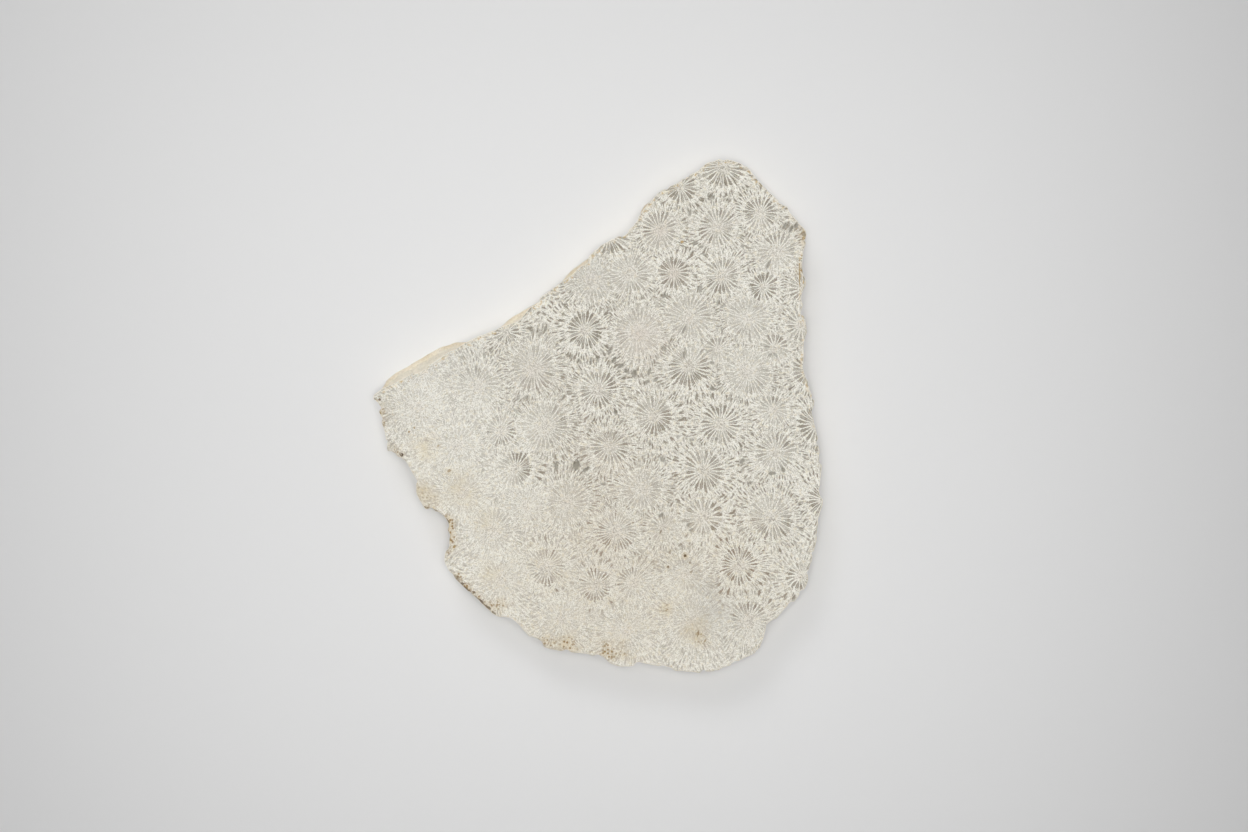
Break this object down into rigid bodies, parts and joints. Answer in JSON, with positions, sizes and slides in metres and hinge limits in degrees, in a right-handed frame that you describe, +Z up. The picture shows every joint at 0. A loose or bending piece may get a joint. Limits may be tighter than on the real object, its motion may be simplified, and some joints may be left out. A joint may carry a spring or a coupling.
{
  "type": "fossil coral slice",
  "caption": "Sawn slice of fossil stony coral: a flat irregular slab with a broken rim, its face covered in star-shaped corallites. Lies flat on its back as a display piece.",
  "frame": {"origin": "on the ground, under the middle of the slab's box, at the back sawn face", "axes": "+Z up through the slab's thickness to the sawn face that is looked at, +Y along its longest extent towards the peak, +X towards its long rounded side"},
  "size_m": [0.0898, 0.1028, 0.008],
  "materials": {
    "coral_stone": "matt, sawn and unpolished"
  },
  "bodies": {
    "root": {"coral_slice": "coral_stone"}
  },
  "joints": []
}
